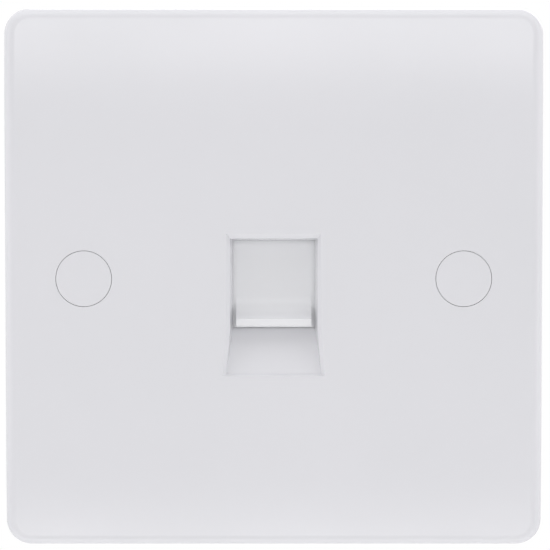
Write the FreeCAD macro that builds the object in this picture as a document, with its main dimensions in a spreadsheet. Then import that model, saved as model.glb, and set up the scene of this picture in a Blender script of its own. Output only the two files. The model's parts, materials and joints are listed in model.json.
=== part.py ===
import FreeCAD, Part
import math
import os

import Sketcher

# Flush data outlet for a square wall box: plate, caps, shutter, guide frame, jack, board and wire terminals.
# Millimetres. X is right and Z is up, seen from the room. Y points into the wall, which lies at Y = 0.
# The origin is in the wall's plane, midway between the two fixing screws.

SIZES = [
    ("plate_width", 85.5, "width and height of the plate"),
    ("plate_depth", 8.5, "from the wall to the middle of the face"),
    ("plate_wall", 2.4, "wall of the plate"),
    ("plate_corner", 4.0, "radius of the plate's four corners"),
    ("plate_edge_round", 1.8, "radius round the front edge"),
    ("crown_start", 25.0, "height above the middle where the face starts to roll back"),
    ("crown_drop", 1.3, "how far the face has rolled back at the top edge"),
    ("inner_corner", 2.0, "radius in the corners of the plate's hollow"),
    ("fixing_pitch", 60.3, "between the two fixing screws"),
    ("fixing_bore", 4.0, "hole for a fixing screw"),
    ("fixing_floor", 3.3, "boss left behind a screw head"),
    ("boss_wall", 1.5, "wall of the boss round a screw head"),
    ("boss_relief", 0.3, "boss held back from the wall"),
    ("shank_width", 3.5, "fixing screw thread"),
    ("neck_width", 2.9, "plain neck of a fixing screw, inside its boss"),
    ("shank_length", 25.0, "fixing screw length under its head"),
    ("head_width", 6.9, "fixing screw head"),
    ("head_height", 2.2, "fixing screw head height"),
    ("cross_reach", 0.58, "cross recess across its arms, as a share of the screw's head"),
    ("cross_arm", 0.13, "arm of the cross recess, as a share of the screw's head"),
    ("cross_depth", 0.6, "cross recess depth, as a share of the head's height"),
    ("head_gap", 0.25, "gap round a screw head"),
    ("cap_width", 8.8, "screw cap"),
    ("cap_thickness", 1.3, "screw cap thickness"),
    ("cap_gap", 0.08, "gap round a screw cap"),
    ("cap_leg_thickness", 0.9, "leg behind a screw cap"),
    ("cap_leg_length", 1.0, "how far a cap's legs reach into the boss"),
    ("cap_leg_slot", 3.0, "slot between the cap's legs"),
    ("rib_thickness", 1.2, "stiffening rib inside the plate"),
    ("rib_height", 1.5, "how far a rib stands off the inner face"),
    ("rib_side", 22.0, "upright ribs, out from the middle"),
    ("rib_level", 31.0, "level ribs, above and below the middle"),
    ("window_width", 15.1, "window at the face"),
    ("window_foot_width", 16.3, "window at the foot of the ramp"),
    ("window_above", 7.2, "top of the window above the middle"),
    ("window_below", 15.55, "foot of the ramp below the middle"),
    ("bevel_depth", 0.7, "depth of the bevel round the window"),
    ("bevel_side", 0.6, "width of the bevel at the window's sides"),
    ("bevel_top", 0.82, "width of the bevel at the window's top"),
    ("bevel_foot", 0.35, "width of the bevel at the ramp's foot"),
    ("throat_draft", 0.43, "how much the window closes in towards the shutter"),
    ("sill_below", 8.15, "inner edge of the ramp below the middle"),
    ("window_seat", 1.2, "pad behind the window that the guide frame seats on"),
    ("shutter_gap", 0.2, "running gap round the shutter"),
    ("shutter_thickness", 1.2, "shutter panel"),
    ("shutter_lap", 1.0, "how far the shutter laps the window at each side"),
    ("shutter_lap_top", 1.2, "how far the shutter laps the top of the window"),
    ("shutter_lap_sill", 0.8, "how far the shutter laps the sill"),
    ("shutter_travel", 9.8, "how far the shutter slides up"),
    ("shutter_spare", 0.4, "room left over the open shutter"),
    ("lip_width", 12.0, "finger lip of the shutter"),
    ("lip_height", 1.25, "height of the lip's front"),
    ("lip_reach", 2.7, "how far the lip stands out"),
    ("lip_hollow", 3.4, "radius of the hollow above the lip"),
    ("lip_over_sill", 0.4, "gap between the lip and the sill"),
    ("lip_break", 0.3, "break under the lip's front edge"),
    ("ear_height", 2.0, "spring ears at the shutter's sides"),
    ("ear_above_foot", 0.3, "ears above the shutter's lower edge"),
    ("spring_width", 3.0, "outside of a spring"),
    ("spring_wire", 0.35, "spring wire"),
    ("spring_turns", 7.0, "turns in a spring"),
    ("spring_length", 15.6, "spring with the shutter shut"),
    ("spring_side_gap", 0.3, "gap beside a spring"),
    ("spring_pin", 1.6, "pin inside a spring's foot"),
    ("spring_pin_length", 2.0, "length of that pin"),
    ("spring_slot_width", 1.6, "slot that shows a spring from behind"),
    ("spring_slot_length", 9.0, "length of that slot"),
    ("well_wall", 0.95, "wall between the jack and a spring well"),
    ("well_floor", 1.1, "wall behind a spring"),
    ("frame_side_wall", 2.5, "wall outside a spring well"),
    ("frame_top_wall", 1.6, "wall over the open shutter"),
    ("frame_foot", 9.0, "guide frame below the jack"),
    ("frame_corner", 2.0, "corner radius of the guide frame"),
    ("core_wall", 1.5, "walls round the hollows in the guide frame's foot"),
    ("seat_margin", 0.5, "how far the pad behind the window shows round the guide frame"),
    ("lug_radius", 3.0, "screw lug of the guide frame"),
    ("lug_reach", 3.3, "lug's hole out from the guide frame's side"),
    ("lug_thickness", 2.0, "screw lug thickness"),
    ("lug_rise", 1.7, "lug behind the guide frame's front"),
    ("lug_level", 0.5, "screw lugs above the middle"),
    ("small_shank", 2.2, "small screw thread"),
    ("small_head", 4.0, "small screw head"),
    ("small_head_height", 1.1, "small screw head height"),
    ("frame_screw_length", 5.5, "frame screw length"),
    ("board_screw_length", 6.0, "board screw length"),
    ("thread_gap", 0.05, "gap round a small screw in its pilot hole"),
    ("lug_bore_gap", 0.2, "gap round a small screw in a lug or the board"),
    ("pilot_spare", 0.3, "pilot hole deeper than its screw"),
    ("post_width", 5.0, "round posts of the plate and the guide frame"),
    ("rest_post_width", 4.0, "square posts that the board rests on"),
    ("jack_gap", 0.15, "gap round the jack's nose"),
    ("jack_step", 1.0, "step from the jack's nose to its body"),
    ("jack_depth", 11.2, "jack body from the guide frame to the board"),
    ("jack_roof", 2.8, "jack body over the contacts"),
    ("jack_nose_roof", 1.0, "jack nose over the contacts"),
    ("jack_panel_recess", 0.6, "recess in each side of the jack"),
    ("jack_panel_margin", 2.0, "border round that recess"),
    ("plug_width", 11.9, "plug cavity width"),
    ("plug_height", 6.7, "plug cavity height"),
    ("plug_top", 0.6, "plug cavity's top above the middle"),
    ("plug_depth", 12.5, "plug cavity depth"),
    ("jack_side_wall", 1.05, "wall beside the plug cavity in the nose"),
    ("latch_width", 6.3, "wide latch notch"),
    ("latch_drop", 1.2, "depth of the wide latch notch"),
    ("latch_slit_width", 4.0, "narrow latch notch"),
    ("latch_slit_drop", 0.8, "depth of the narrow latch notch"),
    ("jack_floor", 1.0, "wall under the latch notches"),
    ("peg_width", 3.2, "jack pegs through the board"),
    ("peg_spread", 10.8, "between the two jack pegs"),
    ("peg_below", 3.0, "jack pegs below the middle"),
    ("peg_gap", 0.1, "gap round a peg in the board"),
    ("peg_proud", 0.5, "how far a peg stands out of the board"),
    ("contact_pitch", 1.02, "between two contacts"),
    ("contact_width", 0.35, "contact wire width"),
    ("contact_thickness", 0.3, "contact wire thickness"),
    ("contact_bend", 0.75, "radius of a contact's front bend, at its middle"),
    ("contact_angle", 17.0, "slope of the sprung end, in degrees"),
    ("contact_front", 2.55, "middle of the front bend behind the jack's front"),
    ("contact_reach", 9.6, "sprung end, measured along Y"),
    ("contact_step", 1.3, "step up of every second contact"),
    ("contact_step_back", 2.0, "that step in front of the board"),
    ("contact_tail", 0.8, "tails behind the board"),
    ("insert_width", 9.0, "contact comb"),
    ("insert_height", 2.4, "contact comb above the plug cavity"),
    ("insert_groove", 0.45, "groove for a contact"),
    ("insert_gap", 0.15, "gap round the contact comb"),
    ("insert_nose", 0.2, "comb's nose behind the middle of the bend"),
    ("insert_nose_height", 0.95, "height of that nose under the contacts"),
    ("insert_nose_depth", 3.4, "how far the comb's underside slopes back"),
    ("insert_wing", 2.0, "rails at the sides of the comb"),
    ("insert_wing_height", 1.6, "height of those rails"),
    ("insert_wing_start", 0.4, "rails behind the guide frame"),
    ("fin_thickness", 0.4, "fins that keep the contact tips apart"),
    ("fin_depth", 1.5, "fins along the plug's path"),
    ("fin_drop", 2.5, "fins below the comb"),
    ("fin_gap", 0.1, "fins in front of the cavity's end"),
    ("board_width", 30.0, "circuit board"),
    ("board_above", 17.0, "board's top above the middle"),
    ("board_below", 19.0, "board's lower edge below the middle"),
    ("board_thickness", 1.6, "circuit board thickness"),
    ("board_corner", 1.5, "bevelled corners of the board"),
    ("tail_hole", 0.6, "plated hole for a contact tail"),
    ("tongue_width", 12.0, "tongue for the cable tie"),
    ("tongue_length", 6.0, "length of that tongue"),
    ("tie_slot_width", 1.8, "slots for the cable tie"),
    ("tie_slot_length", 3.4, "length of those slots"),
    ("tie_slot_spread", 7.0, "between those slots"),
    ("post_side", 12.0, "board posts out from the middle"),
    ("post_upper", 13.5, "upper board posts above the middle"),
    ("post_lower", 15.5, "lower board posts below the middle"),
    ("terminal_inner", 7.2, "inner side of a terminal block"),
    ("terminal_width", 5.8, "terminal block width"),
    ("terminal_height", 10.5, "terminal block behind the board"),
    ("terminal_middle", 1.0, "middle of the terminals below the middle of the plate"),
    ("terminal_pitch", 4.1, "between two wire slots"),
    ("terminal_end", 2.0, "block beyond its last slot's middle, past half a pitch"),
    ("wire_slot", 1.0, "wire slot"),
    ("wire_slot_depth", 5.5, "wire slot depth"),
    ("wire_mouth", 2.4, "mouth of a wire slot"),
    ("wire_mouth_depth", 1.0, "depth of that mouth"),
    ("blade_width", 2.8, "forked blade"),
    ("blade_thickness", 0.5, "forked blade thickness"),
    ("blade_slit", 0.3, "slit of the fork"),
    ("blade_slit_depth", 4.2, "depth of that slit"),
    ("blade_mouth", 1.1, "mouth of the fork"),
    ("blade_mouth_depth", 0.6, "depth of that mouth"),
    ("blade_below_top", 1.9, "blade below the block's top"),
    ("blade_tail_width", 0.8, "blade's tail through the board"),
    ("blade_tail", 0.9, "blade's tail in front of the board"),
    ("blade_gap", 0.1, "gap round a blade"),
]

CONTACTS = 8
TERMINALS_A_SIDE = 4
# Straight runs in a turn of a spring, and the sides of its wire's section.
COIL_RUNS = 8
WIRE_SIDES = 4
# Pitch of a spring's closed end turns, in wire thicknesses.
CLOSED_PITCH = 1.15
# How far a cutting form starts outside the surface it opens.
OVERCUT = 1.0
# Depth that stands for none where the ramp runs out, and the width within which two levels count as one.
TOUCH = 0.01

doc = FreeCAD.newDocument("wall_socket")
sheet = doc.addObject("Spreadsheet::Sheet", "Dims")


class Size:
    """A number, with the expression that ties it to the sheet."""

    def __init__(self, number, text):
        self.number = number
        self.text = text

    def __add__(self, other):
        other = as_size(other)
        return Size(self.number + other.number, f"({self.text} + {other.text})")

    def __radd__(self, other):
        return as_size(other) + self

    def __sub__(self, other):
        other = as_size(other)
        return Size(self.number - other.number, f"({self.text} - {other.text})")

    def __rsub__(self, other):
        return as_size(other) - self

    def __mul__(self, other):
        other = as_size(other)
        return Size(self.number * other.number, f"({self.text} * {other.text})")

    def __rmul__(self, other):
        return as_size(other) * self

    def __truediv__(self, other):
        other = as_size(other)
        return Size(self.number / other.number, f"({self.text} / {other.text})")

    def __neg__(self):
        return Size(-self.number, f"(0 - {self.text})")


def as_size(value):
    return value if isinstance(value, Size) else Size(float(value), f"({float(value)})")


def sine(angle):
    return Size(math.sin(math.radians(angle.number)), f"sin({angle.text})")


def cosine(angle):
    return Size(math.cos(math.radians(angle.number)), f"cos({angle.text})")


def tangent(angle):
    return Size(math.tan(math.radians(angle.number)), f"tan({angle.text})")


def root(value):
    return Size(math.sqrt(value.number), f"sqrt({value.text})")


class Sizes:
    """The sheet's sizes by name."""

    def __init__(self, table):
        for row, (name, number, note) in enumerate(table, start=1):
            sheet.set(f"A{row}", note)
            sheet.set(f"B{row}", str(number))
            sheet.setAlias(f"B{row}", name)
        doc.recompute()
        for name, _, _ in table:
            setattr(self, name, Size(getattr(sheet, name), f"Dims.{name}"))


s = Sizes(SIZES)

# Planes that several pieces share.
face = -s.plate_depth
wall_back = face + s.plate_wall
seat = wall_back + s.window_seat
shutter_front = seat + s.shutter_gap
shutter_back = shutter_front + s.shutter_thickness
channel_floor = shutter_back + s.shutter_gap
well_back = channel_floor + s.spring_width - s.shutter_thickness + s.spring_side_gap
frame_back = well_back + s.well_floor
board_front = frame_back + s.jack_depth
board_back = board_front + s.board_thickness
bevel_back = face + s.bevel_depth
head_seat = -s.boss_relief - s.fixing_floor
cap_back = face + s.cap_thickness

# Edges of the window and of what moves behind it.
sill = -s.sill_below
throat_half = s.window_width / 2 - s.bevel_side - s.throat_draft
throat_top = s.window_above - s.bevel_top - s.throat_draft
shutter_half = throat_half + s.shutter_lap
shutter_top = throat_top + s.shutter_lap_top
shutter_foot = sill - s.shutter_lap_sill
lip_foot = sill + s.lip_over_sill
lip_top = lip_foot + s.lip_height
ear_foot = shutter_foot + s.ear_above_foot
ear_top = ear_foot + s.ear_height
spring_top = ear_top + s.spring_length

# The jack's nose, the spring wells beside it, and the guide frame round them.
nose_half = s.plug_width / 2 + s.jack_side_wall
plug_foot = s.plug_top - s.plug_height
latch_foot = plug_foot - s.latch_drop
slit_foot = latch_foot - s.latch_slit_drop
nose_foot = slit_foot - s.jack_floor
insert_top = s.plug_top + s.insert_height
nose_top = insert_top + s.insert_gap + s.jack_nose_roof
opening_half = nose_half + s.jack_gap
well_inner = opening_half + s.well_wall
spring_x = well_inner + s.spring_side_gap + s.spring_width / 2
spring_y = well_back - s.spring_side_gap / 2 - s.spring_width / 2
ear_half = spring_x + s.spring_width / 2 + s.spring_side_gap / 2
well_outer = ear_half + s.shutter_gap
frame_half = well_outer + s.frame_side_wall
channel_top = shutter_top + s.shutter_travel + s.shutter_spare
frame_top = channel_top + s.frame_top_wall
frame_foot = nose_foot - s.jack_gap - s.frame_foot
lug_x = frame_half + s.lug_reach
lug_front = seat + s.lug_rise
lug_back = lug_front + s.lug_thickness
LUGS = [(side * lug_x, s.lug_level) for side in (-1, 1)]
SCREWED_POSTS = [(-s.post_side, s.post_upper), (s.post_side, -s.post_lower)]
REST_POSTS = [(s.post_side, s.post_upper), (-s.post_side, -s.post_lower)]

# Contacts and terminals.
contact_z = insert_top - s.insert_groove + s.contact_thickness / 2
bend_y = channel_floor + s.contact_front
terminal_x = s.terminal_inner + s.terminal_width / 2
terminal_top = board_back + s.terminal_height

PLANES = {"X": ("YZ_Plane", 1), "Y": ("XZ_Plane", -1), "Z": ("XY_Plane", 1)}


def bind(thing, field, value):
    thing.setExpression(field, as_size(value).text)


def number(value):
    return as_size(value).number


def vector(point):
    return FreeCAD.Vector(number(point[0]), number(point[1]), 0)


def new_body(label):
    body = doc.addObject("PartDesign::Body", label)
    body.Label = label
    return body


def place(body, x=0, y=0, z=0):
    bind(body, "Placement.Base.x", x)
    bind(body, "Placement.Base.y", y)
    bind(body, "Placement.Base.z", z)


def sketch_on(body, axis, name, level):
    """A sketch across one axis, at a level measured along that axis."""
    role, sense = PLANES[axis]
    plane = next(item for item in body.Origin.OriginFeatures if item.Role == role)
    sketch = body.newObject("Sketcher::SketchObject", name)
    sketch.AttachmentSupport = [(plane, "")]
    sketch.MapMode = "FlatFace"
    bind(sketch, "AttachmentOffset.Base.z", sense * as_size(level))
    return sketch


def loop(points, arcs=None):
    """A closed outline. arcs gives the centre and radius of each round side, by the side's number."""
    return {"points": points, "arcs": arcs or {}, "closed": True}


def rectangle(left, right, low, high):
    return loop([(left, low), (right, low), (right, high), (left, high)])


def disc(x, y, width):
    return {"centre": (x, y), "radius": width / 2}


def tie_point(sketch, constraints, ties, side, end, point):
    """Holds one end of a side at a place measured from the origin."""
    for kind, value in zip(("DistanceX", "DistanceY"), point):
        ties.append((sketch.ConstraintCount + len(constraints), value))
        constraints.append(Sketcher.Constraint(kind, -1, 1, side, end, number(value)))


def draw_disc(sketch, shape):
    centre = vector(shape["centre"])
    circle = Part.Circle(centre, FreeCAD.Vector(0, 0, 1), number(shape["radius"]))
    side = sketch.addGeometry(circle, False)
    constraints = []
    ties = []
    tie_point(sketch, constraints, ties, side, 3, shape["centre"])
    ties.append((sketch.ConstraintCount + len(constraints), shape["radius"]))
    constraints.append(Sketcher.Constraint("Radius", side, number(shape["radius"])))
    sketch.addConstraint(constraints)
    return ties


def arc_through(start, end, centre, radius):
    """The shorter arc between two points of a circle."""
    middle = (start + end) / 2 - centre
    middle.normalize()
    return Part.Arc(start, centre + middle * radius, end)


def draw_chain(sketch, shape):
    points = shape["points"]
    count = len(points)
    sides = count if shape["closed"] else count - 1
    geometry = []
    for side in range(sides):
        start = vector(points[side])
        end = vector(points[(side + 1) % count])
        if side in shape["arcs"]:
            centre, radius = shape["arcs"][side]
            geometry.append(arc_through(start, end, vector(centre), number(radius)))
        else:
            geometry.append(Part.LineSegment(start, end))
    first = sketch.GeometryCount
    sketch.addGeometry(geometry, False)
    ends = []
    for side in range(sides):
        begins = sketch.getPoint(first + side, 1).distanceToPoint(vector(points[side]))
        finishes = sketch.getPoint(first + side, 2).distanceToPoint(vector(points[side]))
        ends.append((1, 2) if begins < finishes else (2, 1))
    constraints = []
    ties = []
    for side in range(sides):
        tie_point(sketch, constraints, ties, first + side, ends[side][0], points[side])
        after = (side + 1) % sides
        if shape["closed"] or side + 1 < sides:
            joint = (first + side, ends[side][1], first + after, ends[after][0])
            constraints.append(Sketcher.Constraint("Coincident", *joint))
        if side in shape["arcs"]:
            radius = shape["arcs"][side][1]
            ties.append((sketch.ConstraintCount + len(constraints), radius))
            constraints.append(Sketcher.Constraint("Radius", first + side, number(radius)))
    if not shape["closed"]:
        tie_point(sketch, constraints, ties, first + sides - 1, ends[-1][1], points[-1])
    sketch.addConstraint(constraints)
    return ties


def draw(sketch, shapes):
    for shape in shapes:
        ties = draw_disc(sketch, shape) if "centre" in shape else draw_chain(sketch, shape)
        for position, value in ties:
            if isinstance(value, Size):
                sketch.setExpression(f"Constraints[{position}]", value.text)


def prism(body, name, axis, shapes, low, high, cut=False):
    """Adds or cuts outlines between two levels along one axis."""
    grows_up = (PLANES[axis][1] > 0) != cut
    sketch = sketch_on(body, axis, f"{name}_sketch", low if grows_up else high)
    draw(sketch, shapes)
    feature = body.newObject("PartDesign::Pocket" if cut else "PartDesign::Pad", name)
    feature.Profile = sketch
    bind(feature, "Length", as_size(high) - low)
    return feature


def loft_cut(body, name, axis, sections):
    """Cuts the form that runs straight from one outline to the next."""
    sketches = []
    for position, (level, shape) in enumerate(sections, start=1):
        sketch = sketch_on(body, axis, f"{name}_sketch_{position}", level)
        draw(sketch, [shape])
        sketches.append(sketch)
    feature = body.newObject("PartDesign::SubtractiveLoft", name)
    feature.Profile = sketches[0]
    feature.Sections = sketches[1:]
    feature.Ruled = True
    return feature


def soften(body, name, base, radius, wanted, kind="Fillet"):
    """Rounds or bevels the edges of a feature that a test picks."""
    doc.recompute()
    names = [f"Edge{n}" for n, edge in enumerate(base.Shape.Edges, start=1) if wanted(edge)]
    feature = body.newObject(f"PartDesign::{kind}", name)
    feature.Base = (base, names)
    bind(feature, "Radius" if kind == "Fillet" else "Size", radius)
    return feature


def runs_along(edge, axis):
    """Whether an edge leads mostly along one axis."""
    first, last = edge.Vertexes[0].Point, edge.Vertexes[-1].Point
    way = last - first
    return way.Length > 0 and abs(way[axis]) > 0.9 * way.Length


def level_with(value, target):
    return abs(value - number(target)) < TOUCH


def at_each(centres, width):
    return [disc(x, z, width) for x, z in centres]


def make_faceplate():
    body = new_body("faceplate")
    half = s.plate_width / 2
    outline = prism(body, "outline", "Y", [rectangle(-half, half, -half, half)], face, 0)
    soften(body, "corners", outline, s.plate_corner, lambda edge: runs_along(edge, 1))
    outside = face - OVERCUT
    rise = half - s.crown_start
    crown_radius = (rise * rise + s.crown_drop * s.crown_drop) / (2 * s.crown_drop)
    crown_middle = face + crown_radius
    for name, up in (("crown_top", 1), ("crown_foot", -1)):
        start = (face, up * s.crown_start)
        end = (face + s.crown_drop, up * half)
        shape = loop(
            [start, end, (outside, up * half), (outside, up * s.crown_start)],
            {0: ((crown_middle, up * s.crown_start), crown_radius)},
        )
        crown = prism(body, name, "X", [shape], -half, half, cut=True)

    def on_front_edge(edge):
        middle = edge.CenterOfMass
        near_rim = max(abs(middle.x), abs(middle.z)) > number(half - s.plate_corner)
        limit = number(face + s.crown_drop) + TOUCH
        in_front = all(vertex.Point.y < limit for vertex in edge.Vertexes)
        return near_rim and in_front and not runs_along(edge, 1)

    soften(body, "front_edge", crown, s.plate_edge_round, on_front_edge)
    make_hollow(body, half, crown_middle, crown_radius)
    make_plate_bosses(body)
    make_window(body)
    return body


def make_hollow(body, half, crown_middle, crown_radius):
    """Hollows the plate from behind, with a wall that follows the face."""
    inner = half - s.plate_wall
    inner_radius = crown_radius - s.plate_wall
    rise = inner - s.crown_start
    corner_y = crown_middle - root(inner_radius * inner_radius - rise * rise)
    points = [
        (OVERCUT, -inner),
        (OVERCUT, inner),
        (corner_y, inner),
        (wall_back, s.crown_start),
        (wall_back, -s.crown_start),
        (corner_y, -inner),
    ]
    arcs = {
        2: ((crown_middle, s.crown_start), inner_radius),
        4: ((crown_middle, -s.crown_start), inner_radius),
    }
    hollow = prism(body, "hollow", "X", [loop(points, arcs)], -inner, inner, cut=True)

    def in_hollow_corner(edge):
        middle = edge.CenterOfMass
        inside = level_with(abs(middle.x), inner) and level_with(abs(middle.z), inner)
        return inside and runs_along(edge, 1)

    soften(body, "hollow_corners", hollow, s.inner_corner, in_hollow_corner)


def make_plate_bosses(body):
    """Ribs, screw bosses and posts inside the plate, and the bores through them."""
    in_wall = face + s.plate_wall / 2
    rib = s.rib_thickness / 2
    inner = s.plate_width / 2 - s.plate_wall
    uprights = [rectangle(x - rib, x + rib, -inner, inner) for x in (-s.rib_side, s.rib_side)]
    prism(body, "upright_ribs", "Y", uprights, in_wall, wall_back + s.rib_height)
    levels = [rectangle(-inner, inner, z - rib, z + rib) for z in (-s.rib_level, s.rib_level)]
    prism(body, "level_ribs", "Y", levels, in_wall, wall_back + s.rib_height)
    margin = s.seat_margin
    pad = rectangle(-frame_half - margin, frame_half + margin, frame_foot - margin, frame_top + margin)
    prism(body, "window_seat", "Y", [pad], in_wall, seat)
    fixings = [(-s.fixing_pitch / 2, 0), (s.fixing_pitch / 2, 0)]
    head_bore = s.head_width + 2 * s.head_gap
    prism(body, "screw_bosses", "Y", at_each(fixings, head_bore + 2 * s.boss_wall), in_wall, -s.boss_relief)
    prism(body, "frame_posts", "Y", at_each(LUGS, s.post_width), in_wall, lug_front)
    pilot = s.small_shank + 2 * s.thread_gap
    pilot_end = lug_back - s.frame_screw_length - s.pilot_spare
    prism(body, "frame_pilots", "Y", at_each(LUGS, pilot), pilot_end, lug_front, cut=True)
    prism(body, "cap_beds", "Y", at_each(fixings, s.cap_width + 2 * s.cap_gap), face, cap_back, cut=True)
    prism(body, "head_bores", "Y", at_each(fixings, head_bore), cap_back, head_seat, cut=True)
    prism(body, "fixing_bores", "Y", at_each(fixings, s.fixing_bore), head_seat, 0, cut=True)


def make_window(body):
    """The bevelled window with its straight throat, and the ramp that leads a plug up to the lip."""
    half = s.window_width / 2
    foot_half = s.window_foot_width / 2
    inner = half - s.bevel_side
    inner_foot = foot_half - s.bevel_side
    inner_top = s.window_above - s.bevel_top
    ramp_foot = -s.window_below + s.bevel_foot

    def six_sided(width, low_width, top, low):
        return loop([
            (-low_width, low), (low_width, low), (width, sill),
            (width, top), (-width, top), (-width, sill),
        ])

    loft_cut(body, "window_bevel", "Y", [
        (face, six_sided(half, foot_half, s.window_above, -s.window_below)),
        (bevel_back, six_sided(inner, inner_foot, inner_top, ramp_foot)),
    ])
    loft_cut(body, "window_throat", "Y", [
        (bevel_back, rectangle(-inner, inner, sill, inner_top)),
        (seat, rectangle(-throat_half, throat_half, sill, throat_top)),
    ])

    def ramp_section(front_half, back_half, back):
        return loop([
            (-front_half, bevel_back), (front_half, bevel_back), (back_half, back), (-back_half, back),
        ])

    shallow = bevel_back + TOUCH
    loft_cut(body, "ramp", "Z", [
        (sill, ramp_section(inner, throat_half, seat)),
        (ramp_foot, ramp_section(inner_foot, inner_foot, shallow)),
    ])


def make_screw_cap(label, x):
    body = new_body(label)
    leg_width = s.head_width + 2 * s.head_gap - 2 * s.cap_gap
    prism(body, "cap", "Y", [disc(0, 0, s.cap_width)], face, cap_back)
    ring = [disc(0, 0, leg_width), disc(0, 0, leg_width - 2 * s.cap_leg_thickness)]
    prism(body, "legs", "Y", ring, cap_back, cap_back + s.cap_leg_length)
    slot = s.cap_leg_slot / 2
    half = s.cap_width / 2
    for name, shape in (
        ("upright_slot", rectangle(-slot, slot, -half, half)),
        ("level_slot", rectangle(-half, half, -slot, slot)),
    ):
        prism(body, name, "Y", [shape], cap_back, cap_back + s.cap_leg_length, cut=True)
    place(body, x=x)
    return body


def make_shutter():
    body = new_body("shutter")
    panel = rectangle(-shutter_half, shutter_half, shutter_foot, shutter_top)
    prism(body, "panel", "Y", [panel], shutter_front, shutter_back)
    lip_front = shutter_front - s.lip_reach
    inside = shutter_front + s.shutter_thickness / 2
    hollow_reach = s.lip_hollow - s.lip_reach
    hollow_top = lip_top + root(s.lip_hollow * s.lip_hollow - hollow_reach * hollow_reach)
    lip = loop(
        [
            (shutter_front, hollow_top),
            (lip_front, lip_top),
            (lip_front, lip_foot + s.lip_break),
            (lip_front + s.lip_break, lip_foot),
            (inside, lip_foot),
            (inside, hollow_top),
        ],
        {0: ((shutter_front - s.lip_hollow, hollow_top), s.lip_hollow)},
    )
    prism(body, "lip", "X", [lip], -s.lip_width / 2, s.lip_width / 2)
    ears = rectangle(-ear_half, ear_half, ear_foot, ear_top)
    prism(body, "ears", "Y", [ears], shutter_front, shutter_back)
    inner = well_inner + s.shutter_gap
    seats = [rectangle(inner, ear_half, ear_foot, ear_top), rectangle(-ear_half, -inner, ear_foot, ear_top)]
    prism(body, "spring_seats", "Y", seats, shutter_back, well_back - s.shutter_gap)
    pins = [disc(-spring_x, spring_y, s.spring_pin), disc(spring_x, spring_y, s.spring_pin)]
    prism(body, "spring_pins", "Z", pins, ear_top, ear_top + s.spring_pin_length)
    return body


def coil_level(turn, turns, rise, closed_pitch):
    """Height of a coil's middle line: one closed turn at each end, and an even climb between."""
    if turn <= 1:
        return turn * closed_pitch
    if turn >= turns - 1:
        return rise - (turns - turn) * closed_pitch
    return closed_pitch + (turn - 1) * (rise - 2 * closed_pitch) / (turns - 2)


def make_spring(label, x):
    """A spring of short straight runs, mitred where they meet, in wire with a six-sided section."""
    wire = number(s.spring_wire)
    radius = number((s.spring_width - s.spring_wire) / 2)
    rise = number(s.spring_length) - wire
    turns = number(s.spring_turns)
    points = []
    for n in range(round(turns * COIL_RUNS) + 1):
        angle = 2 * math.pi * n / COIL_RUNS
        level = coil_level(n / COIL_RUNS, turns, rise, wire * CLOSED_PITCH)
        points.append(FreeCAD.Vector(radius * math.cos(angle), radius * math.sin(angle), level))
    along = (points[1] - points[0]).normalize()
    outward = along.cross(FreeCAD.Vector(0, 0, 1)).normalize()
    upward = outward.cross(along)
    corners = []
    for n in range(WIRE_SIDES + 1):
        angle = 2 * math.pi * (n + 0.5) / WIRE_SIDES
        corners.append(points[0] + (outward * math.cos(angle) + upward * math.sin(angle)) * (wire / 2))
    coil = doc.addObject("Part::Feature", label)
    coil.Label = label
    mitred = 1
    coil.Shape = Part.makePolygon(points).makePipeShell([Part.makePolygon(corners)], True, True, mitred)
    place(coil, x=x, y=spring_y, z=ear_top + s.spring_wire / 2)
    return coil


def make_guide_frame():
    body = new_body("guide_frame")
    block = rectangle(-frame_half, frame_half, frame_foot, frame_top)
    outline = prism(body, "outline", "Y", [block], seat, frame_back)
    soften(body, "corners", outline, s.frame_corner, lambda edge: runs_along(edge, 1))
    make_lugs(body)
    channel_half = shutter_half + s.shutter_gap
    channel = rectangle(-channel_half, channel_half, shutter_foot - s.shutter_gap, channel_top)
    prism(body, "shutter_channel", "Y", [channel], seat, channel_floor, cut=True)
    ear_channel = rectangle(-well_outer, well_outer, ear_foot - s.shutter_gap, spring_top)
    prism(body, "ear_channel", "Y", [ear_channel], seat, channel_floor, cut=True)
    low = ear_foot - s.shutter_gap
    wells = [
        rectangle(well_inner, well_outer, low, spring_top),
        rectangle(-well_outer, -well_inner, low, spring_top),
    ]
    prism(body, "spring_wells", "Y", wells, channel_floor, well_back, cut=True)
    half = s.spring_slot_width / 2
    slot_low = (spring_top + ear_top - s.spring_slot_length) / 2
    slot_high = slot_low + s.spring_slot_length
    slots = [rectangle(x - half, x + half, slot_low, slot_high) for x in (-spring_x, spring_x)]
    prism(body, "spring_slots", "Y", slots, well_back, frame_back, cut=True)
    opening = rectangle(-opening_half, opening_half, nose_foot - s.jack_gap, nose_top + s.jack_gap)
    prism(body, "jack_opening", "Y", [opening], channel_floor, frame_back, cut=True)
    make_foot_hollows(body)
    make_board_posts(body)
    return body


def make_lugs(body):
    """Two round-ended lugs, which take the screws into the plate's posts."""
    low = s.lug_level - s.lug_radius
    high = s.lug_level + s.lug_radius
    tabs = []
    for side in (-1, 1):
        inner = side * (frame_half - s.frame_side_wall / 2)
        outer = side * lug_x
        centre = (outer, s.lug_level)
        tabs.append(loop(
            [
                (inner, low), (outer, low), (side * (lug_x + s.lug_radius), s.lug_level),
                (outer, high), (inner, high),
            ],
            {1: (centre, s.lug_radius), 2: (centre, s.lug_radius)},
        ))
    prism(body, "lugs", "Y", tabs, lug_front, lug_back)
    bore = s.small_shank + 2 * s.lug_bore_gap
    prism(body, "lug_bores", "Y", at_each(LUGS, bore), lug_front, lug_back, cut=True)


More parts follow.
